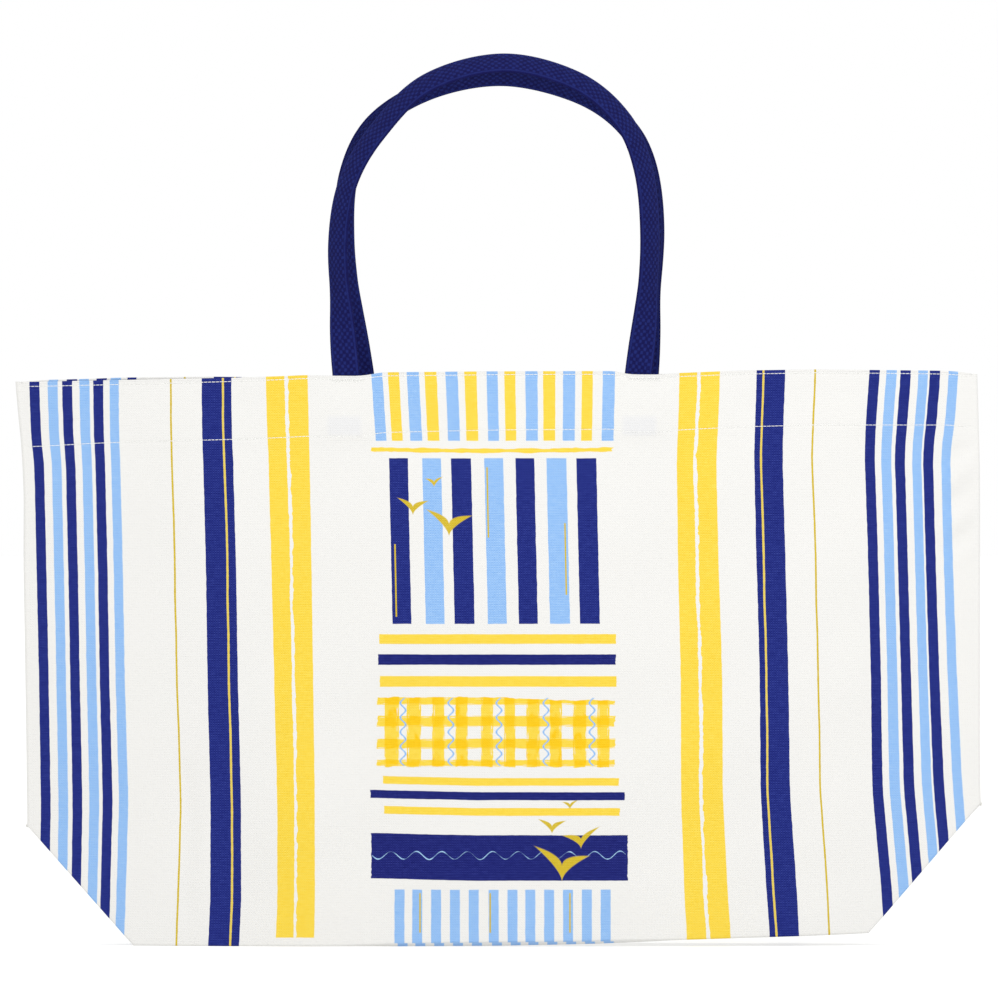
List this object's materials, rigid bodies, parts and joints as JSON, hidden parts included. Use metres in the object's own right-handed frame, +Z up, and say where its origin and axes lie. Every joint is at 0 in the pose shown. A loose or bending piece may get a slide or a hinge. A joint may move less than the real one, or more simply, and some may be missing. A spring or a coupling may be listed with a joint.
{
  "type": "tote bag",
  "caption": "Canvas tote bag with webbing handles, mouth part open, boxed base folded up inside and 45 degree lower corners.",
  "frame": {"origin": "on the ground under the middle of the bag", "axes": "+Z up, +X along the width to the bag's right as seen from the front, front panel faces -Y"},
  "size_m": [0.61, 0.0952, 0.5695],
  "materials": {
    "printed_canvas": "off-white cotton canvas printed with navy, light blue, yellow and gold stripes",
    "plain_canvas": "unprinted inner side of the off-white cotton canvas",
    "webbing": "navy cotton webbing with a pebbled weave",
    "thread": "white cotton thread"
  },
  "bodies": {
    "root": {"base_panel": "printed_canvas", "left_gusset": "printed_canvas", "right_gusset": "printed_canvas", "left_side_seam": "plain_canvas", "right_side_seam": "plain_canvas", "left_corner_seam": "plain_canvas", "right_corner_seam": "plain_canvas"},
    "front_body": {"front_panel": "printed_canvas", "front_hem": "printed_canvas", "front_left_strap_end": "webbing", "front_right_strap_end": "webbing", "front_hem_upper_thread": "thread", "front_hem_lower_thread": "thread", "front_left_tack": "thread", "front_right_tack": "thread"},
    "back_body": {"back_panel": "printed_canvas", "back_hem": "printed_canvas", "back_left_strap_end": "webbing", "back_right_strap_end": "webbing", "back_hem_upper_thread": "thread", "back_hem_lower_thread": "thread", "back_left_tack": "thread", "back_right_tack": "thread"},
    "front_loop": {"front_handle": "webbing"},
    "back_loop": {"back_handle": "webbing"}
  },
  "joints": [
    {"name": "front_panel_opens", "type": "hinge", "parent": "root", "child": "front_body", "pos_m": [0, -0.0467, 0.00135], "axis": [1, 0, 0], "range_deg": [0, 8]},
    {"name": "back_panel_opens", "type": "hinge", "parent": "root", "child": "back_body", "pos_m": [0, 0.0467, 0.00135], "axis": [-1, 0, 0], "range_deg": [0, 8]},
    {"name": "front_handle_swings", "type": "hinge", "parent": "front_body", "child": "front_loop", "pos_m": [0, -0.0425, 0.3642], "axis": [1, 0, 0], "range_deg": [-10, 165]},
    {"name": "back_handle_swings", "type": "hinge", "parent": "back_body", "child": "back_loop", "pos_m": [0, 0.0425, 0.3642], "axis": [-1, 0, 0], "range_deg": [-10, 165]}
  ],
  "couplings": [
    {"joint": "back_panel_opens", "follows": "front_panel_opens", "ratio": 1}
  ]
}
